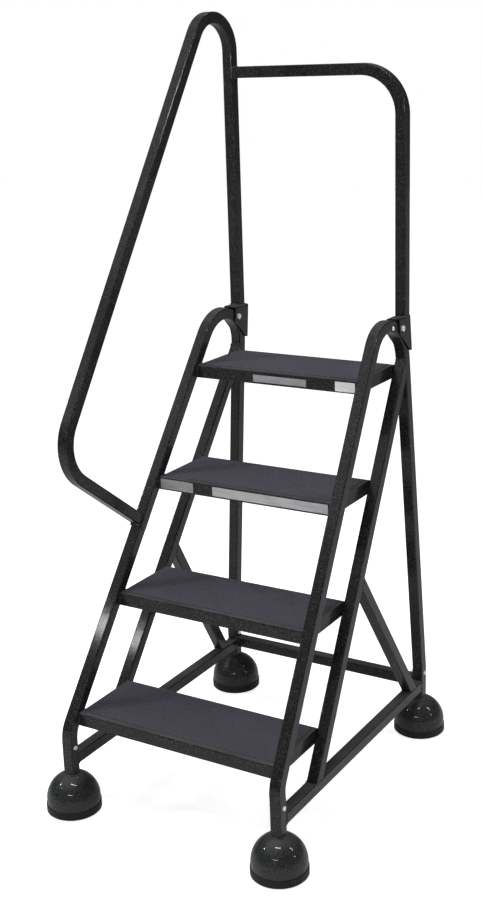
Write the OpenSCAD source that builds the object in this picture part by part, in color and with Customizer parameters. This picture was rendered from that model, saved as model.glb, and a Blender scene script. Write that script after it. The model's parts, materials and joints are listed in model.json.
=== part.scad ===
// Rolling library ladder: a four step welded tube frame with a one side handrail,
// a guard rail round the top step and spring loaded casters hidden in bell feet.
// Origin on the floor at the middle of the footprint, +Z up, climber faces +Y.
// The ladder is shown unloaded: it stands on its casters, with the bell feet just clear.

/* [Footprint] */
// Spacing of the leg centres across the ladder
leg_span_x = 584; // [540:2:640]
// Spacing of the leg centres from front to back
leg_span_y = 770; // [740:2:800]
// Height of the rubber rims above the floor while nobody stands on the ladder
rim_lift = 3; // [2:0.5:4]

/* [Tube] */
// Outside width of the square tube
tube_w = 28.6; // [28:0.1:29]
// Wall thickness of the square tube
tube_wall = 1.6; // [1.2:0.1:2]
// Outside corner radius of the square tube
tube_corner = 3.2; // [2.4:0.1:4]

/* [Side frames] */
// Height where the upright legs start to lean towards each other
splay_z = 184; // [183:1:190]
// Inward lean of the side frames above that height, in degrees
splay = 3.29; // [2.5:0.01:4]
// Height where the line of the front stringer meets the front leg
knee_z = 214.6; // [212:0.1:220]
// Slope of the stringers away from upright, in degrees
stringer_slope = 34.19; // [33:0.01:35]
// Bend radius of the knee above the front foot
knee_r = 66; // [50:1:70]
// Bend radius of the arch over the top step
arch_r = 94; // [88:1:98]
// Lean of the rear legs towards the steps, in degrees
rear_rake = 0.38; // [0.2:0.01:0.6]
// Distance from front stringer to rear stringer, measured level
stringer_gap = 213.2; // [208:0.1:220]
// Height of the centre of the base rails
base_rail_z = 134.5; // [132:0.5:138]
// Height of the centre of the rear cross rail
cross_rail_z = 144.6; // [140:0.1:148]
// Height where the brace meets the line of the rear stringer
brace_top_z = 550; // [530:1:560]
// Distance of the foot of the brace behind the middle of the ladder
brace_foot_y = 315; // [305:1:322]

/* [Steps] */
// Number of steps is fixed by the frame: this is the rise between them
rise = 254; // [252:1:256]
// Depth of each step from front to back
step_depth = 207; // [200:1:212]
// How far the front of each step stands ahead of the stringer's centre line
step_lead = 8; // [6:0.5:9]
// Height of the flanges round each step
flange_h = 32; // [28:0.5:34]
// Sheet thickness of the steps
step_sheet = 1.9; // [1.5:0.1:2.5]
// Outside bend radius along the front and rear of each step
step_bend_r = 4; // [3.5:0.5:6]
// Thickness of the rubber mats
mat_h = 2.4; // [2:0.1:3]
// Bare metal left in front of each mat
mat_front_gap = 15; // [10:1:20]
// Bare metal left behind each mat
mat_rear_gap = 10; // [8:1:14]
// Bare metal left beside each mat
mat_side_gap = 9; // [7:1:14]

/* [Handrail and guard rail] */
// Half the spacing of the two rear posts
post_x = 241.7; // [240:0.1:243]
// Distance of the rear posts behind the middle of the ladder
post_y = 380.4; // [379:0.1:382]
// Height of the centre of the guard rail
guard_z = 1735.9; // [1700:0.1:1750]
// Bend radius of the guard rail's corner
guard_r = 108; // [80:1:112]
// Turn of the handrail's plane outwards at the front, in degrees
handrail_turn = 2.86; // [2.5:0.01:3]
// Slope of the handrail away from upright, in degrees
handrail_slope = 32.7; // [32.5:0.01:33]
// Reach of the handrail's front corner ahead of the rear post
handrail_reach = 757.5; // [755:0.5:760]
// Height of the handrail's front corner, where its two lines meet
handrail_corner_z = 887; // [884:0.5:890]
// Bend radius of the handrail's front corner
handrail_corner_r = 108; // [90:1:112]
// Bend radius of the hairpin at the top of the handrail
hairpin_r = 82; // [80:0.5:83]
// Fall of the handrail's front arm below level, in degrees
arm_fall = 37.5; // [37:0.1:38]

/* [Brackets] */
// Plate thickness of the two post brackets and the handrail saddle
plate = 3; // [2.5:0.1:3.5]
// Height of the top face of the post brackets
bracket_top_z = 1137; // [1135:1:1140]
// Outside width of the post brackets
bracket_w = 37.2; // [36.6:0.1:38]
// Length of the handrail saddle along the stringer
saddle_len = 36; // [32:1:44]
// Depth of the saddle's side plates
saddle_depth = 25; // [20:1:27]

/* [Feet] */
// Outside radius of the bell feet
bell_r = 66; // [62:0.5:68]
// Sheet thickness of the bell feet
bell_wall = 2.5; // [2:0.1:3]
// Height of the straight part of the bell above the rubber rim's foot
bell_skirt = 31; // [26:1:36]
// Radius of the rubber rims
rim_r = 67.8; // [67:0.1:70]
// Height of the rubber rims
rim_h = 20; // [16:1:24]

/* [Casters] */
// Radius of the caster wheels
wheel_r = 25; // [23:0.5:26]
// Width of the caster wheels
wheel_w = 18; // [14:1:19]
// Distance of the wheel axle from the swivel axis
trail = 20; // [16:1:22]
// Radius of the caster stem
stem_r = 6; // [5:0.5:6]

/* [Hidden] */
$fn = 64;

leg_x = leg_span_x / 2;
leg_y = leg_span_y / 2;
half_tube = tube_w / 2;
inner_corner = tube_corner - tube_wall;
// Larger than the ladder's half width and half depth
big = 460;
// Gap left where two welded pieces meet
weld_gap = 0.05;
// Gap left between the straight lengths and the bends of one tube
seam = 0.03;

// Side frame outline, as distances back and up in its own leaning plane
knee_up = (knee_z - splay_z) / cos(splay);
splay_bend_r = 94;
splay_cut = splay_bend_r * tan(splay / 2);
rear_leg_up = splay_cut + 0.1;
arch_up = (2 * leg_y + knee_up * tan(stringer_slope) + rear_leg_up * tan(rear_rake))
    / (tan(stringer_slope) + tan(rear_rake));
rear_top_y = leg_y - (arch_up - rear_leg_up) * tan(rear_rake);

// The handrail's arm and the front stringer cross at this height
stringer_run = tan(stringer_slope) / cos(splay);
arm_drop = tan(arm_fall) / cos(handrail_turn);
saddle_z = (handrail_corner_z - handrail_reach * tan(arm_fall)
    + arm_drop * (leg_y + knee_z * stringer_run + post_y)) / (1 + arm_drop * stringer_run);

// Fasteners
leg_bolt_z = 169;
leg_bolt_r = 3;
leg_nut_af = 10;
leg_nut_h = 5;
bracket_bolt_y = 346.8;
bracket_bolt_z = 1111;
bracket_bolt_r = 4;
bracket_nut_af = 13;
bracket_nut_h = 6.5;
bolt_head_h = 5.3;
bolt_clearance = 0.2;
// Radius of the flat face of a hexagon head, as a share of its width across flats
hex_face = 0.475;
// Angle of the bevel on a hexagon's corners, from the bolt's axis
hex_bevel = 60;
side_screw_y = 303.8;
side_screw_z = 1119;
side_screw_r = 2.4;
side_screw_head_r = 6;
side_screw_head_h = 3.2;

// Distance back from the handrail's front corner to the end of its arm, before trimming
arm_reach = 320;

// Post brackets, as distances behind the middle of the ladder and heights
bracket_front_y = 334;
bracket_back_y = 397.6;
bracket_tail_y = 389.6;
bracket_tail_z = 1048;
bracket_nose_z = 1099;
plate_bend_r = 4;
saddle_play = 0.3;

// Feet and caster stack, as heights above the floor
leg_bottom = 90;
rim_inner_gap = 1.8;
rim_sole = 3;
axle_z = wheel_r;
axle_r = 3;
axle_head_r = 5.5;
axle_head_h = 2;
fork_top = 57;
fork_plate = 2.5;
fork_crown = 3;
fork_bend_r = 2;
fork_gap = 20;
fork_eye_r = 8;
fork_nose_y = -12;
race_gap = 0.3;
rivet_head_r = 9;
stem_flange_r = 12;
stem_flange_h = 3;
socket_w = tube_w - 2 * tube_wall - 0.6;
socket_lip_r = 15;
socket_lip_h = 3;
chamber_floor = 128;
chamber_top = 160;
socket_top = 182;
chamber_r = 8.5;
collar_r = 8;
collar_h = 4;
nub_r = 4;
nub_h = 7.7;
running_gap = 0.05;
spring_r = 6.8;
spring_wire_r = 0.9;
spring_turns = 5;

black_coat = [0.13, 0.135, 0.14];
mat_grey = [0.27, 0.26, 0.31];
zinc = [0.78, 0.78, 0.76];
rubber_black = [0.06, 0.06, 0.06];
nylon = [0.75, 0.74, 0.70];

// Level distance back to the centre line of the front stringer at height z
function stringer_y(z) = -leg_y + (z - knee_z) * stringer_run;
// Distance out to the centre of a side frame at height z
function side_x(z) = leg_x - (z - splay_z) * tan(splay);
// Distance out to the inner face of a side frame at height z
function inner_x(z) = side_x(z) - half_tube / cos(splay) - weld_gap;
// Distance up the leaning plane of a side frame at height z
function up_plane(z) = (z - splay_z) / cos(splay);
// Angle of the line from p to q, from upright towards the back
function heading(p, q) = atan2(q[0] - p[0], q[1] - p[1]);
// An angle brought between -180 and 180 degrees
function wrapped(a) = a > 180 ? a - 360 : a < -180 ? a + 360 : a;
// Turn at point i of a path
function turn_at(path, i) =
    wrapped(heading(path[i], path[i + 1]) - heading(path[i - 1], path[i]));
// Length that the bend at point i takes from each line that meets there
function bend_cut(path, radii, i) =
    i == 0 || i == len(path) - 1 ? 0 : radii[i] * tan(abs(turn_at(path, i)) / 2);

// ---- shared shapes ----

module rounded_square(w, r) {
    square([w - 2 * r, w], center = true);
    square([w, w - 2 * r], center = true);
    for (x = [-1, 1], y = [-1, 1])
        translate([x * (w / 2 - r), y * (w / 2 - r)])
            circle(r = r, $fn = 32);
}

// A rectangle with its two upper corners rounded
module round_topped(x0, x1, low, high, r) {
    translate([x0, low])
        square([x1 - x0, high - low - r]);
    translate([x0 + r, low])
        square([x1 - x0 - 2 * r, high - low]);
    for (x = [x0 + r, x1 - r])
        translate([x, high - r])
            circle(r = r, $fn = 48);
}

module tube_section() {
    difference() {
        rounded_square(tube_w, tube_corner);
        rounded_square(tube_w - 2 * tube_wall, inner_corner);
    }
}

// One bend of a tube that starts along +Z and turns towards +Y, or -Y for a negative turn
module bend(r, turn) {
    if (turn > 0)
        translate([0, r, 0])
            rotate([90, 0, -90])
                rotate_extrude(angle = turn, $fn = 96)
                    translate([r, 0])
                        tube_section();
    if (turn < 0)
        mirror([0, 1, 0])
            bend(r, -turn);
}

// A tube along a path of points in the YZ plane, with a bend at each inner point
module bent_tube(path, radii) {
    for (i = [0:len(path) - 2]) {
        start_cut = bend_cut(path, radii, i);
        end_cut = bend_cut(path, radii, i + 1);
        run = norm(path[i + 1] - path[i]) - start_cut - end_cut;
        translate([0, path[i][0], path[i][1]])
            rotate([-heading(path[i], path[i + 1]), 0, 0])
                translate([0, 0, start_cut]) {
                    translate([0, 0, seam])
                        linear_extrude(run - 2 * seam)
                            tube_section();
                    if (i < len(path) - 2)
                        translate([0, 0, run])
                            bend(radii[i + 1], turn_at(path, i + 1));
                }
    }
}

// Extrudes an outline drawn in X and Z through the whole depth of the ladder
module through_y() {
    translate([0, big, 0])
        rotate([90, 0, 0])
            linear_extrude(2 * big)
                children();
}

// Extrudes an outline drawn in Y and Z through the whole width of the ladder
module through_x() {
    translate([-big, 0, 0])
        rotate([90, 0, 90])
            linear_extrude(2 * big)
                children();
}

// Puts children drawn for the right hand side on side s, -1 for the left
module on_side(s) {
    mirror([s < 0 ? 1 : 0, 0, 0])
        children();
}

// The leaning plane of the right side frame: x is across it, y back and z up the plane
module leaning_plane() {
    translate([leg_x, 0, splay_z])
        rotate([0, -splay, 0])
            children();
}

// A point on the right front stringer at height z, with z along the stringer
module on_front_stringer(z) {
    leaning_plane()
        translate([0, stringer_y(z), up_plane(z)])
            rotate([-stringer_slope, 0, 0])
                children();
}

// The vertical plane of the left handrail: y is distance back from the post
module handrail_plane() {
    translate([-post_x, post_y, 0])
        rotate([0, 0, -handrail_turn])
            children();
}

// The corner of the footprint at side s and end e
module at_corner(s, e) {
    translate([s * leg_x, e * leg_y, 0])
        children();
}

// A hexagon along +Z, af across its flats, with the corners of its upper face bevelled
module hexagon(af, h) {
    intersection() {
        cylinder(d = af / cos(30), h = h, $fn = 6);
        cylinder(r1 = hex_face * af + h * tan(hex_bevel), r2 = hex_face * af, h = h);
    }
}

// A bolt along +X whose head starts at x = 0 and whose shank ends at x = -shank
module bolt(r, shank, af, head) {
    rotate([0, 90, 0])
        hexagon(af, head);
    translate([-shank, 0, 0])
        rotate([0, 90, 0])
            cylinder(r = r, h = shank + 0.01);
}

// A hexagon nut with its outer face towards -X
module nut(r, af, h) {
    rotate([0, -90, 0])
        difference() {
            hexagon(af, h);
            translate([0, 0, -1])
                cylinder(r = r + running_gap, h = h + 2);
        }
}

// A hole along X, as long as three tubes are wide
module cross_hole(r) {
    translate([-1.5 * tube_w, 0, 0])
        rotate([0, 90, 0])
            cylinder(r = r, h = 3 * tube_w);
}

// ---- frame tubes ----

// The bent part of a side frame: stringer, arch and rear leg, in the leaning plane
module upper_side_tube() {
    path = [
        [-leg_y, splay_cut],
        [-leg_y, knee_up],
        [rear_top_y, arch_up],
        [leg_y, rear_leg_up]
    ];
    radii = [0, knee_r, arch_r, 0];
    bent_tube(path, radii);
}

// One upright leg, with the slight bend that joins it to the leaning tube
module lower_leg() {
    straight = splay_z - splay_cut - leg_bottom;
    linear_extrude(straight - seam)
        tube_section();
    translate([0, 0, straight])
        rotate([0, 0, 90])
            bend(splay_bend_r, splay);
}

module side_frame() {
    color(black_coat)
        difference() {
            union() {
                leaning_plane()
                    upper_side_tube();
                for (e = [-1, 1])
                    translate([leg_x, e * leg_y, leg_bottom])
                        lower_leg();
            }
            for (e = [-1, 1])
                translate([leg_x, e * leg_y, leg_bolt_z])
                    cross_hole(leg_bolt_r + bolt_clearance);
            leaning_plane()
                translate([0, bracket_bolt_y, up_plane(bracket_bolt_z)])
                    cross_hole(bracket_bolt_r + bolt_clearance);
            leaning_plane()
                translate([tube_w, side_screw_y, up_plane(side_screw_z)])
                    cross_hole(side_screw_r + bolt_clearance);
        }
}

// A side frame with one more hole, for the handrail's bolt through its front stringer
module left_side_frame() {
    difference() {
        on_side(-1)
            side_frame();
        on_side(-1)
            on_front_stringer(saddle_z)
                saddle_bolt_hole();
    }
}

// The tube that runs from the base rail up to the rear leg, beside the backs of the steps
module rear_stringer() {
    low = base_rail_z - half_tube;
    color(black_coat)
        difference() {
            leaning_plane()
                translate([0, stringer_gap + stringer_y(low), up_plane(low)])
                    rotate([-stringer_slope, 0, 0])
                        linear_extrude(arch_up / cos(stringer_slope))
                            tube_section();
            translate([0, -big, 0])
                cube([big, 2 * big, base_rail_z + half_tube + weld_gap]);
            leaning_plane()
                translate([0, leg_y, rear_leg_up])
                    rotate([rear_rake, 0, 0])
                        translate([-tube_w, -half_tube - weld_gap, 0])
                            cube([2 * tube_w, big, 3 * big]);
        }
}

module base_rail() {
    length = leg_span_y - tube_w - 2 * weld_gap;
    color(black_coat)
        translate([leg_x, length / 2, base_rail_z])
            rotate([90, 0, 0])
                linear_extrude(length)
                    tube_section();
}

// The strut from the back of the base rail up to the underside of the rear stringer
module brace() {
    low = base_rail_z - half_tube;
    top = [stringer_y(brace_top_z) + stringer_gap, up_plane(brace_top_z)];
    foot = [brace_foot_y, up_plane(base_rail_z + half_tube)];
    lean = heading(foot, top);
    extra = tube_w;
    color(black_coat)
        difference() {
            leaning_plane()
                translate([0, foot[0], foot[1]])
                    rotate([-lean, 0, 0])
                        translate([0, 0, -extra])
                            linear_extrude(norm(top - foot) + extra)
                                tube_section();
            translate([0, -big, low - big])
                cube([big, 2 * big, big + tube_w + weld_gap]);
            leaning_plane()
                translate([0, top[0], top[1]])
                    rotate([-stringer_slope, 0, 0])
                        translate([-tube_w, half_tube + weld_gap - big, -big])
                            cube([2 * tube_w, big, 2 * big]);
        }
}

module rear_cross_rail() {
    length = leg_span_x - tube_w - 2 * weld_gap;
    color(black_coat)
        translate([-length / 2, leg_y, cross_rail_z])
            rotate([90, 0, 90])
                linear_extrude(length)
                    tube_section();
}

// ---- steps ----

// A solid step, smaller by inset on every side but open downwards when inset is given
module step_block(top, inset) {
    low = top - flange_h - (inset > 0 ? 1 : 0);
    high = top - inset;
    front = stringer_y(top) - step_lead;
    intersection() {
        through_y()
            polygon([
                [-inner_x(low) + inset, low],
                [inner_x(low) - inset, low],
                [inner_x(high) - inset, high],
                [-inner_x(high) + inset, high]
            ]);
        through_x()
            round_topped(front + inset, front + step_depth - inset, low, high, step_bend_r - inset);
    }
}

module step_pan(k) {
    color(black_coat)
        difference() {
            step_block(k * rise, 0);
            step_block(k * rise, step_sheet);
        }
}

// A flat rectangle from x0 to x1 with its upper corners cut off
module bevelled(x0, x1, low, h) {
    cut = h / 2;
    polygon([
        [x0, low], [x1, low], [x1, low + h - cut],
        [x1 - cut, low + h], [x0 + cut, low + h], [x0, low + h - cut]
    ]);
}

module step_mat(k) {
    top = k * rise;
    half = inner_x(top) - mat_side_gap;
    front = stringer_y(top) - step_lead;
    color(mat_grey)
        intersection() {
            through_y()
                bevelled(-half, half, top, mat_h);
            through_x()
                bevelled(front + mat_front_gap, front + step_depth - mat_rear_gap, top, mat_h);
        }
}

// ---- handrail, guard rail and their brackets ----

// The space under the sloping top face of the right post bracket
module below_bracket_top() {
    leaning_plane()
        translate([-big / 4, big / 2, up_plane(bracket_top_z) - big + weld_gap])
            cube([big / 2, big / 2, big]);
}

module left_handrail() {
    apex_z = handrail_corner_z + handrail_reach / tan(handrail_slope);
    path = [
        [0, bracket_top_z - tube_w],
        [0, apex_z],
        [-handrail_reach, handrail_corner_z],
        [-handrail_reach + arm_reach, handrail_corner_z - arm_reach * tan(arm_fall)]
    ];
    radii = [0, hairpin_r, handrail_corner_r, 0];
    color(black_coat)
        difference() {
            handrail_plane()
                bent_tube(path, radii);
            on_side(-1)
                below_bracket_top();
            on_side(-1)
                on_front_stringer(saddle_z)
                    translate([-2 * tube_w, -half_tube - plate - 2 * weld_gap, -3 * tube_w])
                        cube([4 * tube_w, 6 * tube_w, 6 * tube_w]);
        }
}

module rear_guard_rail() {
    path = [
        [0, bracket_top_z - tube_w],
        [0, guard_z],
        [2 * post_x, guard_z]
    ];
    radii = [0, guard_r, 0];
    color(black_coat)
        difference() {
            translate([post_x, post_y, 0])
                rotate([0, 0, 90])
                    bent_tube(path, radii);
            below_bracket_top();
            handrail_plane()
                translate([half_tube + weld_gap - big, -tube_w, guard_z - tube_w])
                    cube([big, 2 * tube_w, 2 * tube_w]);
        }
}

// A folded hood over the back of the arch: the post stands on its top plate
module post_bracket() {
    top = up_plane(bracket_top_z);
    half = bracket_w / 2;
    low = up_plane(bracket_tail_z);
    color(black_coat)
        leaning_plane()
            difference() {
                intersection() {
                    through_x()
                        polygon([
                            [bracket_front_y, top],
                            [bracket_back_y, top],
                            [bracket_back_y, low],
                            [bracket_tail_y, low],
                            [bracket_front_y, up_plane(bracket_nose_z)]
                        ]);
                    through_y()
                        round_topped(-half, half, low, top, plate_bend_r);
                }
                translate([plate - half, 0, 0])
                    cube([bracket_w - 2 * plate, bracket_back_y - plate, top - plate]);
                translate([0, bracket_bolt_y, up_plane(bracket_bolt_z)])
                    cross_hole(bracket_bolt_r + bolt_clearance);
            }
}

// A hole through the right front stringer and the saddle, square to the stringer
module saddle_bolt_hole() {
    rotate([90, 0, 0])
        cylinder(r = bracket_bolt_r + bolt_clearance, h = 3 * tube_w, center = true);
}

// The channel on the front of the left stringer that carries the handrail's arm
module handrail_saddle() {
    half = half_tube + saddle_play + plate;
    front = half_tube + weld_gap + plate;
    color(black_coat)
        on_side(-1)
            on_front_stringer(saddle_z)
                difference() {
                    translate([0, 0, -saddle_len / 2])
                        linear_extrude(saddle_len)
                            mirror([0, 1])
                                difference() {
                                    round_topped(-half, half, front - saddle_depth, front, plate_bend_r);
                                    translate([plate - half, -big])
                                        square([2 * (half - plate), big + front - plate]);
                                }
                    saddle_bolt_hole();
                }
}

// ---- fasteners ----

// The bolts through the legs, with every head towards +X
module leg_bolts() {
    color(zinc)
        for (s = [-1, 1], e = [-1, 1])
            at_corner(s, e)
                translate([half_tube + weld_gap, 0, leg_bolt_z])
                    bolt(leg_bolt_r, tube_w + 1.5 * leg_nut_h, leg_nut_af, leg_bolt_r * 1.3);
}

module leg_nuts() {
    color(zinc)
        for (s = [-1, 1], e = [-1, 1])
            at_corner(s, e)
                translate([-half_tube - weld_gap, 0, leg_bolt_z])
                    nut(leg_bolt_r, leg_nut_af, leg_nut_h);
}

// Puts children at the bolt through the bracket on side s, with +X still towards +X
module at_bracket_bolt(s) {
    on_side(s)
        leaning_plane()
            translate([0, bracket_bolt_y, up_plane(bracket_bolt_z)])
                on_side(s)
                    children();
}

module bracket_bolts() {
    color(zinc)
        for (s = [-1, 1])
            at_bracket_bolt(s)
                translate([bracket_w / 2 + weld_gap, 0, 0])
                    bolt(bracket_bolt_r, bracket_w + 1.3 * bracket_nut_h, bracket_nut_af, bolt_head_h);
}

module bracket_nuts() {
    color(zinc)
        for (s = [-1, 1])
            at_bracket_bolt(s)
                translate([-bracket_w / 2 - weld_gap, 0, 0])
                    nut(bracket_bolt_r, bracket_nut_af, bracket_nut_h);
}

// The bolt that holds the handrail's arm: its head is behind the stringer, its nut in the arm
module saddle_bolt() {
    reach = plate + 2 * weld_gap + tube_w + 1.3 * bracket_nut_h;
    color(zinc)
        on_side(-1)
            on_front_stringer(saddle_z)
                rotate([0, 0, 90]) {
                    translate([half_tube + weld_gap, 0, 0])
                        bolt(bracket_bolt_r, reach, bracket_nut_af, bolt_head_h);
                    translate([-half_tube - plate - 2 * weld_gap, 0, 0])
                        nut(bracket_bolt_r, bracket_nut_af, bracket_nut_h);
                }
}

// A round cap of radius r and height h, cut from a sphere
module dome(r, h) {
    sphere_r = (r * r + h * h) / (2 * h);
    intersection() {
        translate([0, 0, h - sphere_r])
            sphere(r = sphere_r);
        cylinder(r = r, h = 2 * h);
    }
}

// Dome headed screws in the outer faces of the two arches
module side_screws() {
    color(zinc)
        for (s = [-1, 1])
            on_side(s)
                leaning_plane()
                    translate([half_tube + weld_gap, side_screw_y, up_plane(side_screw_z)])
                        rotate([0, 90, 0]) {
                            dome(side_screw_head_r, side_screw_head_h);
                            translate([0, 0, -3 * tube_wall])
                                cylinder(r = side_screw_r, h = 3 * tube_wall + 0.01);
                        }
}

// ---- feet ----

// The outline of a bell shell: a straight skirt under a half dome, r outside and t thick
module bell_outline(r, t) {
    dome_z = rim_lift + bell_skirt;
    difference() {
        union() {
            intersection() {
                translate([0, dome_z])
                    circle(r = r, $fn = 128);
                translate([0, dome_z])
                    square([big, big]);
            }
            translate([0, rim_lift + rim_sole])
                square([r, bell_skirt - rim_sole]);
        }
        translate([0, dome_z])
            circle(r = r - t, $fn = 128);
        translate([-1, 0])
            square([r - t + 1, dome_z]);
    }
}

module bell(s, e) {
    color(black_coat)
        at_corner(s, e)
            difference() {
                rotate_extrude($fn = 128)
                    bell_outline(bell_r, bell_wall);
                linear_extrude(big)
                    rounded_square(tube_w + 2 * weld_gap, tube_corner);
            }
}

// A rubber ring of U section round the bell's lower edge
module rim(s, e) {
    inner = bell_r - bell_wall - rim_inner_gap;
    edge = rim_r - bell_r;
    color(rubber_black)
        at_corner(s, e)
            rotate_extrude($fn = 128)
                difference() {
                    translate([inner, rim_lift])
                        polygon([
                            [edge / 2, 0],
                            [rim_r - inner - edge, 0],
                            [rim_r - inner, edge],
                            [rim_r - inner, rim_h - edge / 2],
                            [rim_r - inner - edge / 2, rim_h],
                            [0, rim_h],
                            [0, edge / 2]
                        ]);
                    translate([bell_r - bell_wall - weld_gap, rim_lift + rim_sole - weld_gap])
                        square([bell_wall + 2 * weld_gap, rim_h]);
                }
}

// ---- casters ----

// The nylon block inside the bottom of a leg: it guides the stem and holds the spring
module socket(s, e) {
    color(nylon)
        at_corner(s, e)
            difference() {
                union() {
                    translate([0, 0, leg_bottom])
                        linear_extrude(socket_top - leg_bottom)
                            rounded_square(socket_w, inner_corner);
                    translate([0, 0, leg_bottom - weld_gap - socket_lip_h])
                        cylinder(r = socket_lip_r, h = socket_lip_h);
                    translate([0, 0, leg_bottom - 1])
                        cylinder(r = socket_w / 2, h = 2);
                }
                translate([0, 0, leg_bottom - 2 * socket_lip_h])
                    cylinder(r = stem_r + running_gap, h = chamber_top - leg_bottom);
                translate([0, 0, chamber_floor])
                    cylinder(r = chamber_r, h = chamber_top - chamber_floor);
                translate([0, 0, leg_bolt_z])
                    cross_hole(leg_bolt_r + bolt_clearance);
            }
}

// A round wire helix with flat ends, each ring of points square to the wire
module spring(s, e) {
    sides = 6;
    steps = 12 * spring_turns;
    low = chamber_floor + race_gap + collar_h + spring_wire_r + weld_gap;
    high = chamber_top - spring_wire_r - weld_gap;
    points = [
        for (i = [0:steps], j = [0:sides - 1])
            let (a = 360 * spring_turns * i / steps, b = 360 * j / sides)
                [
                    (spring_r + spring_wire_r * cos(b)) * cos(a),
                    (spring_r + spring_wire_r * cos(b)) * sin(a),
                    low + (high - low) * i / steps + spring_wire_r * sin(b)
                ]
    ];
    walls = [
        for (i = [0:steps - 1], j = [0:sides - 1])
            let (a = i * sides + j, b = i * sides + (j + 1) % sides)
                [a, a + sides, b + sides, b]
    ];
    ends = [
        [for (j = [0:sides - 1]) j],
        [for (j = [0:sides - 1]) steps * sides + sides - 1 - j]
    ];
    color(zinc)
        at_corner(s, e)
            polyhedron(points, concat(walls, ends), convexity = 10);
}

// The stem: rivet head under the fork, shoulder over it, shank, collar and spring nub
module stem(s, e) {
    collar_z = chamber_floor + race_gap;
    color(zinc)
        at_corner(s, e) {
            translate([0, 0, fork_top - fork_crown - race_gap - stem_flange_h])
                cylinder(r = rivet_head_r, h = stem_flange_h);
            translate([0, 0, fork_top - fork_crown - race_gap - 1])
                cylinder(r = stem_r, h = collar_z - fork_top + fork_crown + race_gap + 2);
            translate([0, 0, fork_top + race_gap])
                cylinder(r = stem_flange_r, h = stem_flange_h);
            translate([0, 0, collar_z])
                cylinder(r = collar_r, h = collar_h);
            translate([0, 0, collar_z + collar_h - 1])
                cylinder(r = nub_r, h = nub_h + 1);
        }
}

// The fork: a crown plate round the stem and two side plates down to the trailing axle
module fork(s, e) {
    half = fork_gap / 2 + fork_plate;
    // A little less than the eye's radius, so that the eye's circle stands proud
    plate_half = fork_eye_r - 0.2;
    color(zinc)
        at_corner(s, e)
            difference() {
                intersection() {
                    union() {
                        through_x()
                            polygon([
                                [fork_nose_y, fork_top],
                                [trail + plate_half, fork_top],
                                [trail + plate_half, axle_z],
                                [trail - plate_half, axle_z],
                                [fork_nose_y, fork_top - fork_eye_r]
                            ]);
                        translate([-big, trail, axle_z])
                            rotate([0, 90, 0])
                                cylinder(r = fork_eye_r, h = 2 * big);
                    }
                    through_y()
                        round_topped(-half, half, 0, fork_top, fork_bend_r);
                }
                translate([-fork_gap / 2, -big, 0])
                    cube([fork_gap, 2 * big, fork_top - fork_crown]);
                cylinder(r = stem_r + running_gap, h = big);
                translate([0, trail, axle_z])
                    cross_hole(axle_r + running_gap);
            }
}

module wheel(s, e) {
    edge = wheel_w / 6;
    color(rubber_black)
        at_corner(s, e)
            translate([-wheel_w / 2, trail, axle_z])
                rotate([0, 90, 0])
                    rotate_extrude($fn = 96)
                        polygon([
                            [axle_r + running_gap, 0],
                            [wheel_r - edge, 0],
                            [wheel_r, edge],
                            [wheel_r, wheel_w - edge],
                            [wheel_r - edge, wheel_w],
                            [axle_r + running_gap, wheel_w]
                        ]);
}

// The axle: a pin with a flat head beyond each side plate
module axle(s, e) {
    half = fork_gap / 2 + fork_plate + weld_gap;
    color(zinc)
        at_corner(s, e)
            translate([0, trail, axle_z])
                rotate([0, 90, 0]) {
                    translate([0, 0, -half - axle_head_h / 2])
                        cylinder(r = axle_r, h = 2 * half + axle_head_h);
                    for (m = [0, 1])
                        mirror([0, 0, m])
                            translate([0, 0, half])
                                cylinder(r = axle_head_r, h = axle_head_h);
                }
}

left_side_frame();
side_frame();  // right_side_frame
on_side(-1) rear_stringer();  // left_rear_stringer
rear_stringer();  // right_rear_stringer
on_side(-1) base_rail();  // left_base_rail
base_rail();  // right_base_rail
on_side(-1) brace();  // left_brace
brace();  // right_brace
rear_cross_rail();
for (k = [1:4]) step_pan(k);
for (k = [1:4]) step_mat(k);
on_side(-1) post_bracket();  // left_post_bracket
post_bracket();  // right_post_bracket
left_handrail();
rear_guard_rail();
handrail_saddle();
leg_bolts();
leg_nuts();
bracket_bolts();
bracket_nuts();
saddle_bolt();
side_screws();
bell(-1, -1);  // front_left_bell
bell(1, -1);  // front_right_bell
bell(-1, 1);  // rear_left_bell
bell(1, 1);  // rear_right_bell
rim(-1, -1);  // front_left_rim
rim(1, -1);  // front_right_rim
rim(-1, 1);  // rear_left_rim
rim(1, 1);  // rear_right_rim
socket(-1, -1);  // front_left_socket
socket(1, -1);  // front_right_socket
socket(-1, 1);  // rear_left_socket
socket(1, 1);  // rear_right_socket
spring(-1, -1);  // front_left_spring
spring(1, -1);  // front_right_spring
spring(-1, 1);  // rear_left_spring
spring(1, 1);  // rear_right_spring
stem(-1, -1);  // front_left_stem
stem(1, -1);  // front_right_stem
stem(-1, 1);  // rear_left_stem
stem(1, 1);  // rear_right_stem
fork(-1, -1);  // front_left_fork
fork(1, -1);  // front_right_fork
fork(-1, 1);  // rear_left_fork
fork(1, 1);  // rear_right_fork
wheel(-1, -1);  // front_left_wheel
wheel(1, -1);  // front_right_wheel
wheel(-1, 1);  // rear_left_wheel
wheel(1, 1);  // rear_right_wheel
axle(-1, -1);  // front_left_axle
axle(1, -1);  // front_right_axle
axle(-1, 1);  // rear_left_axle
axle(1, 1);  // rear_right_axle
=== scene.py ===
import json
import math

import bmesh
import bpy
from mathutils import Matrix, Vector, noise


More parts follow.
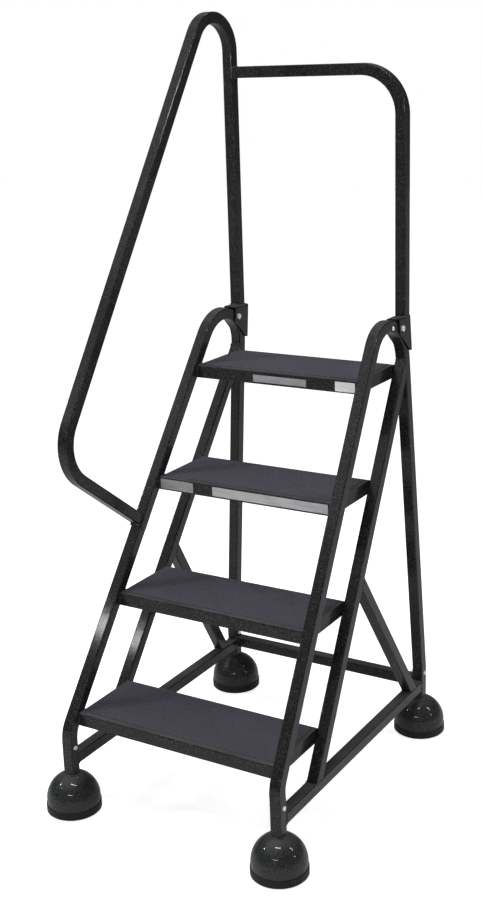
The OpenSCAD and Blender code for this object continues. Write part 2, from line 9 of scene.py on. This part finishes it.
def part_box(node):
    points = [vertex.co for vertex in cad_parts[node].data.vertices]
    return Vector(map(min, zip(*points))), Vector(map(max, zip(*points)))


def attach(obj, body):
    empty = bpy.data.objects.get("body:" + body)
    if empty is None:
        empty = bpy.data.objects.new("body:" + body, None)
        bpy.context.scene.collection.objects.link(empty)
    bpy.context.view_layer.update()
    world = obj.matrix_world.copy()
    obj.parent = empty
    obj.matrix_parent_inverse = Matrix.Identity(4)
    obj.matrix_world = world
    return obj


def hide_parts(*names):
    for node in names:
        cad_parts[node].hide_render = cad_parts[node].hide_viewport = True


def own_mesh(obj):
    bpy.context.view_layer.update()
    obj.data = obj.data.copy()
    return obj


# A rolling library ladder: powder coated tube frame, ribbed rubber mats, bell feet with
# rubber rims, and sprung casters inside them. The CAD nodes keep their shapes and get
# finishes; the mats and springs are replaced, and weld beads and blank labels are added.

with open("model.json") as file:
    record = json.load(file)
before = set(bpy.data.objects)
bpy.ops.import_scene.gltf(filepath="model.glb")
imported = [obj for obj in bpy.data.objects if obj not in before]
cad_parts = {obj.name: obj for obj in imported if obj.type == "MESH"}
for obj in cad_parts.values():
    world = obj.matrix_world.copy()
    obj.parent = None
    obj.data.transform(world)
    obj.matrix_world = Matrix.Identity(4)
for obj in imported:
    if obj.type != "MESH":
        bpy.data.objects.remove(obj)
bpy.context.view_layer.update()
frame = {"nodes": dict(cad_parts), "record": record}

# ---------------------------------------------------------------------------
# Places worked out from the frame, in metres
# ---------------------------------------------------------------------------
MM = 0.001
STEPS = (1, 2, 3, 4)
SIDES = {"left": -1, "right": 1}
ENDS = {"front": -1, "rear": 1}
CORNERS = [(f"{e}_{s}", SIDES[s], ENDS[e]) for e in ENDS for s in SIDES]

pan_box = {k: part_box(f"step_{k}_pan") for k in STEPS}
mat_box = {k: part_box(f"step_{k}_mat") for k in STEPS}
rail_low, rail_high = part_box("right_base_rail")
cross_low, cross_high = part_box("rear_cross_rail")
guard_low, guard_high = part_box("rear_guard_rail")
bracket_low, bracket_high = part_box("right_post_bracket")

TUBE = rail_high.z - rail_low.z
HALF = TUBE / 2
LEG_X = (rail_low.x + rail_high.x) / 2
LEG_Y = rail_high.y + HALF
LADDER_RISE = pan_box[4][1].z - pan_box[1][1].z
# Level run of the stringers and inward lean of the side frames, per metre of height
RUN = (pan_box[4][0].y - pan_box[1][0].y) / LADDER_RISE
LEAN = (pan_box[1][1].x - pan_box[4][1].x) / LADDER_RISE
SLOPE = math.atan(RUN)
POST_Y = (guard_low.y + guard_high.y) / 2
POST_X = guard_high.x - HALF


# Turns and wire radius of the coil springs in the feet, as in the CAD nodes
SPRING_TURNS = 5
SPRING_WIRE = 0.9 * MM
# Slope of the braces away from upright
BRACE_SLOPE = math.radians(32.6)
# How far the slanted tubes' feet stand outwards of the middle of the base rails
FOOT_SHIFT = 1.9 * MM
# Radii of the weld beads
BEAD = 1.7 * MM
THIN_BEAD = 1.3 * MM
POST_BEAD = 2.0 * MM
X, Y, Z = Vector((1, 0, 0)), Vector((0, 1, 0)), Vector((0, 0, 1))


def inner_x(z):
    """Distance out to the inner face of a side frame at height z."""
    return pan_box[1][1].x - (z - pan_box[1][0].z) * LEAN


def side_x(z):
    """Distance out to the middle of a side frame at height z."""
    return inner_x(z) + HALF


def pan_front(z):
    """Where a step's front would be if its top were at height z."""
    return pan_box[1][0].y + (z - pan_box[1][1].z) * RUN


# ---------------------------------------------------------------------------
# Node helpers
# ---------------------------------------------------------------------------
class Shader:
    """A Principled material with short calls for the nodes used here."""

    def __init__(self, name, color, roughness, metallic=0.0):
        self.material = bpy.data.materials.new(name)
        self.material.use_nodes = True
        self.tree = self.material.node_tree
        self.bsdf = self.tree.nodes["Principled BSDF"]
        self.bsdf.inputs["Base Color"].default_value = (*color, 1)
        self.bsdf.inputs["Roughness"].default_value = roughness
        self.bsdf.inputs["Metallic"].default_value = metallic
        self.place = self.tree.nodes.new("ShaderNodeTexCoord").outputs["Object"]

    def link(self, out, socket):
        self.tree.links.new(out, socket)

    def scaled(self, scale):
        """The object's coordinates, stretched by a different amount along each axis."""
        node = self.tree.nodes.new("ShaderNodeMapping")
        node.inputs["Scale"].default_value = scale
        self.link(self.place, node.inputs["Vector"])
        return node.outputs["Vector"]

    def noise(self, scale, detail=2.0, roughness=0.5, vector=None):
        """Cloudy noise from 0 to 1, with scale lumps to the metre."""
        node = self.tree.nodes.new("ShaderNodeTexNoise")
        node.inputs["Scale"].default_value = scale
        node.inputs["Detail"].default_value = detail
        node.inputs["Roughness"].default_value = roughness
        self.link(vector or self.place, node.inputs["Vector"])
        return node.outputs["Fac"]

    def cells(self, scale):
        """Distance to the nearest of scattered points, for a crystalline grain."""
        node = self.tree.nodes.new("ShaderNodeTexVoronoi")
        node.inputs["Scale"].default_value = scale
        self.link(self.place, node.inputs["Vector"])
        return node.outputs["Distance"]

    def ramp(self, fac, low, high, dark=0.0, light=1.0):
        """Stretches fac from low..high to dark..light, and clips it there."""
        node = self.tree.nodes.new("ShaderNodeMapRange")
        node.inputs["From Min"].default_value = low
        node.inputs["From Max"].default_value = high
        node.inputs["To Min"].default_value = dark
        node.inputs["To Max"].default_value = light
        self.link(fac, node.inputs["Value"])
        return node.outputs["Result"]

    def maths(self, kind, a, b):
        """a and b, sockets or numbers, put together by one Math node."""
        node = self.tree.nodes.new("ShaderNodeMath")
        node.operation = kind
        for socket, value in zip(node.inputs, (a, b)):
            if isinstance(value, (int, float)):
                socket.default_value = value
            else:
                self.link(value, socket)
        return node.outputs["Value"]

    def mix(self, fac, a, b):
        """Colour a where fac is 0, colour b where it is 1."""
        node = self.tree.nodes.new("ShaderNodeMix")
        node.data_type = "RGBA"
        self.link(fac, node.inputs["Factor"])
        for name, value in (("A", a), ("B", b)):
            socket = next(s for s in node.inputs if s.name == name and s.type == "RGBA")
            if isinstance(value, tuple):
                socket.default_value = (*value, 1)
            else:
                self.link(value, socket)
        return next(s for s in node.outputs if s.type == "RGBA")

    def bump(self, height, depth, strength=1.0, under=None):
        """A bump whose full height stands depth metres proud."""
        node = self.tree.nodes.new("ShaderNodeBump")
        node.inputs["Distance"].default_value = depth
        node.inputs["Strength"].default_value = strength
        self.link(height, node.inputs["Height"])
        if under is not None:
            self.link(under, node.inputs["Normal"])
        return node.outputs["Normal"]

    def upward(self, low, high):
        """0 on faces that look down or sideways, up to 1 on faces that look up."""
        geometry = self.tree.nodes.new("ShaderNodeNewGeometry")
        split = self.tree.nodes.new("ShaderNodeSeparateXYZ")
        self.link(geometry.outputs["Normal"], split.inputs["Vector"])
        return self.ramp(split.outputs["Z"], low, high)

    def finish(self, color=None, roughness=None, normal=None):
        """Links what varies over the surface, and returns the material."""
        for name, out in (("Base Color", color), ("Roughness", roughness), ("Normal", normal)):
            if out is not None:
                self.link(out, self.bsdf.inputs[name])
        return self.material


# ---------------------------------------------------------------------------
# Materials
# ---------------------------------------------------------------------------
def powder_coat(name, color, speck, dusty_and_painted_top_tone, gloss, peel_depth, fineness=360):
    """Black powder coat: specks in the grain, a paler tone on faces that look up that is partly
    dust and partly painted light from above, and a clear gloss on top.
    """
    s = Shader(name, color, 0.45)
    peel = s.noise(420, detail=3, roughness=0.55)
    grain = s.noise(fineness, detail=2, roughness=0.7)
    cloud = s.noise(9, detail=5, roughness=0.6)
    specks = s.maths("MULTIPLY", s.ramp(grain, 0.50, 0.66), s.ramp(cloud, 0.30, 0.70, 0.55, 1.0))
    # Paler on faces that look up: partly dust, partly painted light falling from above
    dust_and_painted_top_light = s.maths("MULTIPLY", s.upward(0.75, 1.0), s.ramp(cloud, 0.30, 0.75, 0.45, 1.0))
    tone = s.mix(dust_and_painted_top_light, s.mix(specks, color, speck), dusty_and_painted_top_tone)
    rough = s.ramp(s.maths("ADD", grain, s.maths("MULTIPLY", dust_and_painted_top_light, 0.5)), 0.3, 1.1, 0.38, 0.66)
    normal = s.bump(peel, peel_depth, 0.7, under=s.bump(grain, peel_depth / 3, 0.6))
    s.bsdf.inputs["Specular IOR Level"].default_value = 0.12
    s.bsdf.inputs["Coat Weight"].default_value = 0.32
    s.bsdf.inputs["Coat Roughness"].default_value = gloss
    return s.finish(tone, rough, normal)


def ribbed_rubber():
    """The step mats: dull violet grey rubber with a fine grain and paler scuffs."""
    s = Shader("mat_rubber", (0.042, 0.039, 0.052), 0.8)
    grain = s.noise(1100, detail=3, roughness=0.7)
    blotch = s.noise(14, detail=4, roughness=0.6)
    streak = s.noise(60, detail=3, roughness=0.6, vector=s.scaled((0.15, 1.0, 1.0)))
    speck = s.noise(430, detail=2, roughness=0.8)
    worn = s.ramp(s.maths("MULTIPLY", blotch, streak), 0.16, 0.42)
    fine = s.mix(s.ramp(speck, 0.36, 0.66), (0.018, 0.016, 0.025), (0.084, 0.077, 0.106))
    tone = s.mix(worn, fine, (0.053, 0.049, 0.062))
    rough = s.ramp(grain, 0.3, 0.7, 0.66, 0.88)
    return s.finish(tone, rough, s.bump(grain, 0.0003, 0.9))


def rim_rubber():
    """Moulded black rubber with patches of dull bloom."""
    s = Shader("rim_rubber", (0.014, 0.014, 0.014), 0.6)
    grain = s.noise(700, detail=3, roughness=0.6)
    bloom = s.ramp(s.noise(22, detail=5, roughness=0.65), 0.45, 0.75)
    tone = s.mix(bloom, (0.005, 0.005, 0.005), (0.020, 0.018, 0.017))
    rough = s.ramp(bloom, 0.0, 1.0, 0.48, 0.72)
    s.bsdf.inputs["Specular IOR Level"].default_value = 0.2
    return s.finish(tone, rough, s.bump(grain, 0.00015, 0.7))


def plated_steel(name, color, roughness, metallic=1.0):
    """Zinc plate: a crystalline cloudiness over a fine grain."""
    s = Shader(name, color, roughness, metallic)
    bloom = s.noise(160, detail=4, roughness=0.65)
    crystal = s.ramp(s.cells(900), 0.0, 0.7)
    tone = s.mix(s.ramp(bloom, 0.3, 0.7), color, tuple(c * 0.72 for c in color))
    rough = s.ramp(s.maths("MULTIPLY", bloom, crystal), 0.05, 0.5, roughness, roughness + 0.22)
    return s.finish(tone, rough, s.bump(s.noise(1300, detail=2), 0.00006, 0.8))


def nylon():
    """Natural nylon: milky, slightly waxy."""
    s = Shader("socket_nylon", (0.62, 0.60, 0.54), 0.45)
    tint = s.noise(60, detail=4)
    tone = s.mix(tint, (0.56, 0.54, 0.47), (0.66, 0.64, 0.58))
    s.bsdf.inputs["Subsurface Weight"].default_value = 0.1
    s.bsdf.inputs["Subsurface Radius"].default_value = (0.003, 0.003, 0.002)
    return s.finish(tone, s.ramp(tint, 0.3, 0.7, 0.38, 0.55), s.bump(s.noise(800), 0.00008, 0.6))


def wheel_rubber():
    """Dark grey caster rubber with patches of dust."""
    s = Shader("wheel_rubber", (0.03, 0.03, 0.03), 0.65)
    grain = s.noise(600, detail=3, roughness=0.7)
    dirt = s.ramp(s.noise(120, detail=5, roughness=0.7), 0.42, 0.7)
    tone = s.mix(dirt, (0.022, 0.022, 0.023), (0.085, 0.078, 0.070))
    return s.finish(tone, s.ramp(dirt, 0.0, 1.0, 0.5, 0.85), s.bump(grain, 0.0002, 0.8))


def label_film(name, color, edge_tone, roughness, metallic):
    """A blank stuck-on plate: printed film with faint rub marks."""
    s = Shader(name, color, roughness, metallic)
    rub = s.noise(70, detail=5, roughness=0.7, vector=s.scaled((0.4, 1.0, 2.2)))
    tone = s.mix(s.ramp(rub, 0.42, 0.72), color, edge_tone)
    rough = s.ramp(rub, 0.3, 0.7, roughness, roughness + 0.18)
    return s.finish(tone, rough, s.bump(s.noise(240, detail=3), 0.00005, 0.5))


# The record's material slots, and one more for the weld beads
FINISHES = {
    # Each coat's paler tone for faces that look up is partly dust and partly painted light from
    # above
    "black_coat": powder_coat(
        "frame_coat", color=(0.003, 0.0032, 0.0034), speck=(0.060, 0.063, 0.066),
        dusty_and_painted_top_tone=(0.085, 0.088, 0.092), gloss=0.10, peel_depth=0.00022),
    "bell_coat": powder_coat(
        "bell_coat", color=(0.010, 0.0105, 0.011), speck=(0.082, 0.085, 0.089),
        dusty_and_painted_top_tone=(0.070, 0.073, 0.077), gloss=0.035, peel_depth=0.00003, fineness=560),
    "weld": powder_coat(
        "weld_coat", color=(0.012, 0.0125, 0.013), speck=(0.110, 0.112, 0.116),
        dusty_and_painted_top_tone=(0.150, 0.152, 0.156), gloss=0.20, peel_depth=0.00040),
    "step_mat": ribbed_rubber(),
    "rim_rubber": rim_rubber(),
    "zinc_fastener": plated_steel("bright_zinc", (0.95, 0.94, 0.92), 0.30, 0.55),
    "caster_zinc": plated_steel("caster_zinc", (0.62, 0.62, 0.61), 0.30),
    "spring_wire": plated_steel("spring_wire", (0.45, 0.45, 0.46), 0.28),
    "nylon": nylon(),
    "wheel_tread": wheel_rubber(),
}
LABELS = {
    "silver": label_film("label_silver", (0.34, 0.34, 0.35), (0.24, 0.24, 0.25), 0.42, 0.25),
    "grey": label_film("label_grey", (0.48, 0.48, 0.49), (0.33, 0.33, 0.34), 0.48, 0.1),
    "white": label_film("label_white", (0.78, 0.78, 0.79), (0.62, 0.62, 0.64), 0.40, 0.0),
}


def dress_frame():
    """Gives every CAD node the finish of its slot in the record."""
    slots = {part["node"]: part["material_slot"] for part in frame["record"]["subparts"]}
    for name, node in frame["nodes"].items():
        for holder in node.material_slots:
            holder.material = FINISHES[slots[name]]


# ---------------------------------------------------------------------------
# Mesh helpers
# ---------------------------------------------------------------------------
def piece(name, mesh, material, body, smooth=True):
    """Makes an object of a mesh, and says what it rides on and which slot it belongs to."""
    for face in mesh.polygons:
        face.use_smooth = smooth
    mesh.materials.append(material)
    made = bpy.data.objects.new(name, mesh)
    bpy.context.scene.collection.objects.link(made)
    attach(made, body)
    return made


def mesh_of(build):
    """Runs build on an empty bmesh and returns it as mesh data."""
    bm = bmesh.new()
    build(bm)
    bmesh.ops.recalc_face_normals(bm, faces=bm.faces)
    mesh = bpy.data.meshes.new("mesh")
    bm.to_mesh(mesh)
    bm.free()
    return mesh


def add_bead(bm, points, radius, closed, seed):
    """Sweeps a lumpy round bead along points, as a run of overlapping weld ripples."""
    sides = 8
    ripple = 3.2 * MM
    # Any direction that no bead runs along
    askew = Vector((0.31, 0.53, 0.79))
    rings = []
    count = len(points)
    travelled = 0.0
    for i, p in enumerate(points):
        before = points[i - 1] if i or closed else p
        after = points[(i + 1) % count] if i < count - 1 or closed else p
        along = (after - before).normalized()
        travelled += (p - before).length if i else 0.0
        side = along.cross(askew).normalized()
        up = side.cross(along)
        lump = 1 + 0.16 * math.cos(travelled / ripple * math.tau)
        lump += 0.22 * noise.noise(p * 160 + Vector((seed, 0, 0)))
        size = radius * lump
        if not closed and i in (0, count - 1):
            size *= 0.25
        rings.append([
            bm.verts.new(p + size * (math.cos(a) * side + math.sin(a) * up))
            for a in (math.tau * j / sides for j in range(sides))
        ])
    for i in range(count if closed else count - 1):
        low, high = rings[i], rings[(i + 1) % count]
        shift = 0
        if closed and i == count - 1:
            shift = min(range(sides), key=lambda j: (high[j].co - low[0].co).length)
        for j in range(sides):
            k = (j + 1) % sides
            bm.faces.new((low[j], low[k], high[(k + shift) % sides], high[(j + shift) % sides]))
    if not closed:
        bm.faces.new(rings[0])
        bm.faces.new(rings[-1])


def straight_points(a, b, pitch=0.8 * MM):
    """Evenly spaced points from a to b, pitch apart or closer."""
    count = max(6, int((b - a).length / pitch))
    return [a.lerp(b, i / count) for i in range(count + 1)]


def ring_points(centre, across, upward, half_a, half_b, corner=3 * MM, pitch=0.9 * MM):
    """Points round a rounded rectangle that reaches half_a across and half_b upward."""
    points = []
    turns = ((1, 1, 0), (-1, 1, 90), (-1, -1, 180), (1, -1, 270))
    for sa, sb, start in turns:
        for i in range(5):
            a = math.radians(start + 22.5 * i)
            x = sa * (half_a - corner) + corner * math.cos(a)
            y = sb * (half_b - corner) + corner * math.sin(a)
            points.append(centre + x * across + y * upward)
    full = []
    for i, p in enumerate(points):
        q = points[(i + 1) % len(points)]
        count = max(1, int((q - p).length / pitch))
        full += [p.lerp(q, k / count) for k in range(count)]
    return full


def weld_ring(name, centre, across, upward, half_a, half_b, radius=BEAD):
    """A bead all round a tube's end, where it meets another tube."""
    seed = len(name) + centre.x * 10
    points = ring_points(Vector(centre), across.normalized(), upward.normalized(), half_a, half_b)
    mesh = mesh_of(lambda bm: add_bead(bm, points, radius, True, seed))
    piece(name, mesh, FINISHES["weld"], "frame")


def weld_run(name, a, b, radius=BEAD):
    """A straight bead from a to b."""
    seed = len(name) + a.x * 10
    mesh = mesh_of(lambda bm: add_bead(bm, straight_points(a, b), radius, False, seed))
    piece(name, mesh, FINISHES["weld"], "frame")


# ---------------------------------------------------------------------------
# Pieces
# ---------------------------------------------------------------------------
def ribbed_mat(k):
    """A mat whose top is a run of fine ribs along the step's width."""
    low, high = mat_box[k]
    # Spacing of the ribs, depth of the grooves, and flat margin in front and behind
    pitch = 3.3 * MM
    groove = 0.7 * MM
    border = 3.0 * MM
    top = high.z
    edge = (high.z - low.z) / 2
    count = int((high.y - low.y - 2 * border) / pitch)
    start = (low.y + high.y) / 2 - count * pitch / 2
    profile = [(low.y, low.z), (low.y, top - edge), (low.y + edge, top), (start, top)]
    for i in range(count):
        y = start + i * pitch
        # Each groove takes the first two thirds of a pitch, and the rib's crest the rest
        profile += [
            (y + 0.30 * pitch, top - groove),
            (y + 0.45 * pitch, top - groove),
            (y + 0.62 * pitch, top),
            (y + 1.00 * pitch, top),
        ]
    profile += [(high.y - edge, top), (high.y, top - edge), (high.y, low.z)]

    def build(bm):
        rows = []
        for x, pull in ((low.x, 1), (low.x + edge, 0), (high.x - edge, 0), (high.x, 1)):
            rows.append([bm.verts.new((x, y, min(z, top - pull * edge))) for y, z in profile])
        for a, b in zip(rows, rows[1:]):
            for i in range(len(profile)):
                j = (i + 1) % len(profile)
                bm.faces.new((a[i], a[j], b[j], b[i]))
        bm.faces.new(rows[0])
        bm.faces.new(rows[-1])
        bmesh.ops.remove_doubles(bm, verts=bm.verts, dist=1e-6)

    rubber = FINISHES["step_mat"]
    made = piece(f"ribbed_mat_{k}", mesh_of(build), rubber, "frame", smooth=False)
    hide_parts(f"step_{k}_mat")


def label(name, k, x0, x1, z_low, z_high, film):
    """A thin blank plate with round corners on the front flange of step k, down from its top."""
    front = pan_box[k][0].y
    top = pan_box[k][1].z
    thick = 0.35 * MM
    corner = 1.2 * MM
    centre = Vector(((x0 + x1) / 2, front - thick / 2 - 0.02 * MM, top + (z_low + z_high) / 2))
    half_w, half_h = (x1 - x0) / 2, (z_high - z_low) / 2
    # With a pitch longer than any side, the outline has only its corners' points
    outline = ring_points(centre, X, Z, half_w, half_h, corner, pitch=1.0)

    def build(bm):
        face = bm.faces.new([bm.verts.new(p - Y * thick / 2) for p in outline])
        pushed = bmesh.ops.extrude_face_region(bm, geom=[face])
        moved = [v for v in pushed["geom"] if isinstance(v, bmesh.types.BMVert)]
        bmesh.ops.translate(bm, verts=moved, vec=Y * thick)

    piece(name, mesh_of(build), LABELS[film], "frame", smooth=False)


def add_spring(corner):
    """A coil spring that stands for the node's rigid coil."""
    name = f"{corner}_spring"
    low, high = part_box(name)
    middle = (low + high) / 2
    coil_r = (high.x - low.x) / 2 - SPRING_WIRE
    climb = high.z - low.z - 2 * SPRING_WIRE
    steps, sides = 24 * SPRING_TURNS, 12

    def build(bm):
        rings = []
        for i in range(steps + 1):
            turn = math.tau * SPRING_TURNS * i / steps
            out = Vector((math.cos(turn), math.sin(turn), 0))
            axis_point = Vector((middle.x, middle.y, low.z + SPRING_WIRE + climb * i / steps))
            centre = axis_point + out * coil_r
            rings.append([
                bm.verts.new(centre + SPRING_WIRE * (out * math.cos(a) + Z * math.sin(a)))
                for a in (math.tau * j / sides for j in range(sides))
            ])
        for a, b in zip(rings, rings[1:]):
            for j in range(sides):
                bm.faces.new((a[j], a[(j + 1) % sides], b[(j + 1) % sides], b[j]))
        bm.faces.new(rings[0])
        bm.faces.new(rings[-1])

    wire = FINISHES["spring_wire"]
    coil = piece(f"{corner}_coil", mesh_of(build), wire, "frame")
    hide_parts(name)
    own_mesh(coil)


def add_labels():
    """Blank plates where the real ladder carries its name and its labels."""
    label("name_plate", 4, -63 * MM, 88 * MM, -27 * MM, -9 * MM, "silver")
    label("small_label", 4, 168 * MM, 222 * MM, -29 * MM, -5 * MM, "white")
    label("left_label", 3, -240 * MM, -143 * MM, -29 * MM, -3.5 * MM, "silver")
    label("right_label", 3, -86 * MM, 235 * MM, -28 * MM, -4.5 * MM, "grey")


def add_step_welds():
    """Beads where the ends of each step meet the front and rear stringers."""
    for k in STEPS:
        low, high = pan_box[k]
        for side, s in SIDES.items():
            front = low.y + 0.4 * MM
            a = Vector((s * inner_x(high.z - 5 * MM), front, high.z - 5 * MM))
            b = Vector((s * inner_x(low.z + 2 * MM), front, low.z + 2 * MM))
            weld_run(f"weld_step_{k}_{side}_front", a, b)
            x = s * inner_x(high.z)
            weld_run(f"weld_step_{k}_{side}_top", Vector((x, front + 6 * MM, high.z)),
                     Vector((x, front + 28 * MM, high.z)), THIN_BEAD)
            back = high.y - 0.4 * MM
            x = s * inner_x(low.z + 12 * MM)
            weld_run(f"weld_step_{k}_{side}_rear", Vector((x, back, high.z - 6 * MM)),
                     Vector((x, back, low.z + 2 * MM)))


def add_leg_welds():
    """Heavier beads that fill the gap between the top step's rear corners and the rear legs."""
    low, high = pan_box[4]
    for side, s in SIDES.items():
        near = s * (inner_x(high.z) - 1 * MM)
        far = s * (inner_x(high.z) + 0.85 * TUBE)
        back = high.y + 2.5 * MM
        weld_run(f"weld_leg_{side}_upper", Vector((near, back, high.z + 1 * MM)),
                 Vector((far, back, high.z + 2 * MM)), 2.6 * MM)
        weld_run(f"weld_leg_{side}_lower", Vector((near, back, high.z - 4 * MM)),
                 Vector((near, back, low.z + 4 * MM)), 2.4 * MM)


def add_frame_welds():
    """Beads round the ends of the base rails, cross rail, rear stringers and braces."""
    rail_z = (rail_low.z + rail_high.z) / 2
    cross_z = (cross_low.z + cross_high.z) / 2
    plan_half = HALF / math.cos(SLOPE)
    for side, s in SIDES.items():
        for end, e in ENDS.items():
            weld_ring(f"weld_rail_{end}_{side}", Vector((s * LEG_X, e * (LEG_Y - HALF), rail_z)),
                      X, Z, HALF, HALF)
        end_of_cross = Vector((s * (LEG_X - HALF), LEG_Y, cross_z))
        weld_ring(f"weld_cross_{side}", end_of_cross, Y, Z, HALF, HALF)
        stringer_low, stringer_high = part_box(f"{side}_rear_stringer")
        foot_x = s * (LEG_X + FOOT_SHIFT)
        foot = Vector((foot_x, stringer_low.y + plan_half, rail_high.z))
        weld_ring(f"weld_stringer_foot_{side}", foot, X, Y, HALF, plan_half)
        up_half = HALF / math.sin(SLOPE)
        top_z = stringer_high.z - up_half
        head = Vector((s * side_x(top_z), stringer_high.y, top_z))
        weld_ring(f"weld_stringer_head_{side}", head, X, Z, HALF - 1 * MM, up_half)
        brace_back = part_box(f"{side}_brace")[1].y
        brace_half = HALF / math.cos(BRACE_SLOPE)
        foot = Vector((foot_x, brace_back - brace_half, rail_high.z))
        weld_ring(f"weld_brace_foot_{side}", foot, X, Y, HALF, brace_half)


def add_post_welds():
    """Beads where the posts stand on their brackets, and where the guard rail ends."""
    lean = math.atan(LEAN)
    for side, s in SIDES.items():
        across = Vector((s * math.cos(lean), 0, math.sin(lean)))
        centre = Vector((s * POST_X, POST_Y, bracket_high.z - 1.0 * MM))
        weld_ring(f"weld_post_{side}", centre, across, Y, HALF, HALF, POST_BEAD)
    centre = Vector((guard_low.x, POST_Y, guard_high.z - HALF))
    weld_ring("weld_guard_end", centre, Y, Z, HALF, HALF)


def add_bell_welds():
    """Thin beads where the legs stand on their bells."""
    for name, s, e in CORNERS:
        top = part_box(f"{name}_bell")[1].z
        crown = Vector((s * LEG_X, e * LEG_Y, top - 0.6 * MM))
        weld_ring(f"weld_{name}_bell", crown, X, Y, HALF, HALF, THIN_BEAD)


# ---------------------------------------------------------------------------
# Camera, light and floor
# ---------------------------------------------------------------------------
# Where the camera stands, its turns round the ladder, down and sideways in radians,
# and its focal length in millimetres on a 36 mm wide frame
CAMERA_PLACE = Vector((1.6291, -2.6587, 1.7658))
CAMERA_TURNS = (0.5529, 0.2826, -0.0328)
CAMERA_LENS = 53.68


def add_camera():
    """The camera in front of the ladder, a little to its right and above its middle."""
    yaw, pitch, roll = CAMERA_TURNS
    level = math.cos(pitch)
    back = Vector((math.sin(yaw) * level, -math.cos(yaw) * level, math.sin(pitch)))
    right = Vector((math.cos(yaw), math.sin(yaw), 0))
    upward = back.cross(right)
    tilted = math.cos(roll) * right + math.sin(roll) * upward
    raised = math.cos(roll) * upward - math.sin(roll) * right
    camera = bpy.data.objects.new("camera", bpy.data.cameras.new("camera"))
    bpy.context.scene.collection.objects.link(camera)
    turns = Matrix((tilted, raised, back)).transposed()
    camera.matrix_world = Matrix.Translation(CAMERA_PLACE) @ turns.to_4x4()
    camera.data.sensor_width = 36
    camera.data.lens = CAMERA_LENS
    camera.data.clip_end = 50
    bpy.context.scene.camera = camera


# Lamps round the ladder: bearing from the front towards the right and height above level
# in degrees, width and height of the lit panel in metres, and power in watts
LAMPS = (
    ("lamp_left", -39, 31.6, (0.04, 0.08), 1.6),
    ("lamp_far_left", -59, 36, (0.07, 0.30), 16),
    ("lamp_low_left", -57, 22, (0.20, 0.05), 4),
    ("lamp_overhead", 20, 70, (1.30, 0.07), 42),
    ("lamp_behind", -160, 67, (0.12, 0.35), 10),
    ("lamp_right", 108, 42, (0.10, 0.80), 22),
    ("lamp_right_low", 95, 17, (0.12, 0.30), 5),
    ("lamp_camera", 14, 24, (1.20, 0.05), 18),
)
LAMP_AIM = Vector((0, 0, 0.3))
LAMP_DISTANCE = 3.6


def add_lamp(name, azimuth, height, size, watts):
    """A small lit panel that faces the lower part of the ladder."""
    a, h = math.radians(azimuth), math.radians(height)
    out = Vector((math.sin(a) * math.cos(h), -math.cos(a) * math.cos(h), math.sin(h)))
    light = bpy.data.lights.new(name, "AREA")
    light.shape = "RECTANGLE"
    light.size, light.size_y = size
    light.energy = watts
    made = bpy.data.objects.new(name, light)
    made.location = LAMP_AIM + LAMP_DISTANCE * out
    made.rotation_euler = out.to_track_quat("Z", "Y").to_euler()
    bpy.context.scene.collection.objects.link(made)


def add_soft_sun(towards, strength, spread):
    """Even light for the floor: a sun spread so wide, in degrees, that its shadows melt."""
    light = bpy.data.lights.new("soft_sun", "SUN")
    light.energy = strength
    light.angle = math.radians(spread)
    made = bpy.data.objects.new("soft_sun", light)
    made.rotation_euler = Vector(towards).to_track_quat("Z", "Y").to_euler()
    bpy.context.scene.collection.objects.link(made)


def add_world():
    """White behind the object, and a much dimmer room for what lights it and is reflected."""
    world = bpy.data.worlds.new("studio")
    bpy.context.scene.world = world
    world.use_nodes = True
    tree = world.node_tree
    tree.nodes.clear()
    seen = tree.nodes.new("ShaderNodeBackground")
    seen.inputs["Color"].default_value = (1, 1, 1, 1)
    seen.inputs["Strength"].default_value = 1.0
    room = tree.nodes.new("ShaderNodeBackground")
    room.inputs["Color"].default_value = (0.95, 0.97, 1.0, 1)
    room.inputs["Strength"].default_value = 0.10
    path = tree.nodes.new("ShaderNodeLightPath")
    mix = tree.nodes.new("ShaderNodeMixShader")
    out = tree.nodes.new("ShaderNodeOutputWorld")
    tree.links.new(path.outputs["Is Camera Ray"], mix.inputs["Fac"])
    tree.links.new(room.outputs[0], mix.inputs[1])
    tree.links.new(seen.outputs[0], mix.inputs[2])
    tree.links.new(mix.outputs[0], out.inputs["Surface"])


# Half the floor's width, and how brightly it glows where it is seen and where it is reflected
FLOOR_REACH = 14
FLOOR_GLOW = {"seen": 0.78, "bounced": 0.15}


def add_floor():
    """A pale floor, lit evenly enough to run into the white behind it."""
    s = Shader("floor_paint", (0.86, 0.86, 0.86), 0.7)
    cloud = s.noise(3, detail=4)
    tone = s.mix(cloud, (0.84, 0.84, 0.845), (0.88, 0.88, 0.88))
    s.bsdf.inputs["Emission Color"].default_value = (1, 1, 1, 1)
    path = s.tree.nodes.new("ShaderNodeLightPath")
    glow = s.ramp(path.outputs["Is Camera Ray"], 0, 1, FLOOR_GLOW["bounced"], FLOOR_GLOW["seen"])
    s.link(glow, s.bsdf.inputs["Emission Strength"])
    material = s.finish(tone, s.ramp(cloud, 0.3, 0.7, 0.6, 0.8))

    def build(bm):
        bmesh.ops.create_grid(bm, x_segments=8, y_segments=8, size=FLOOR_REACH)

    mesh = mesh_of(build)
    mesh.materials.append(material)
    floor = bpy.data.objects.new("floor", mesh)
    # Just below the wheels, so that they don't share a plane with it
    floor.location.z = -0.2 * MM
    bpy.context.scene.collection.objects.link(floor)


add_camera()
add_world()
add_soft_sun(towards=(-0.30, -0.25, 1.0), strength=0.8, spread=60)
for lamp in LAMPS:
    add_lamp(*lamp)
add_floor()
dress_frame()
for k in STEPS:
    ribbed_mat(k)
add_labels()
add_step_welds()
add_leg_welds()
add_frame_welds()
add_post_welds()
add_bell_welds()
for corner, _, _ in CORNERS:
    add_spring(corner)

bpy.context.scene.view_settings.view_transform = "Standard"
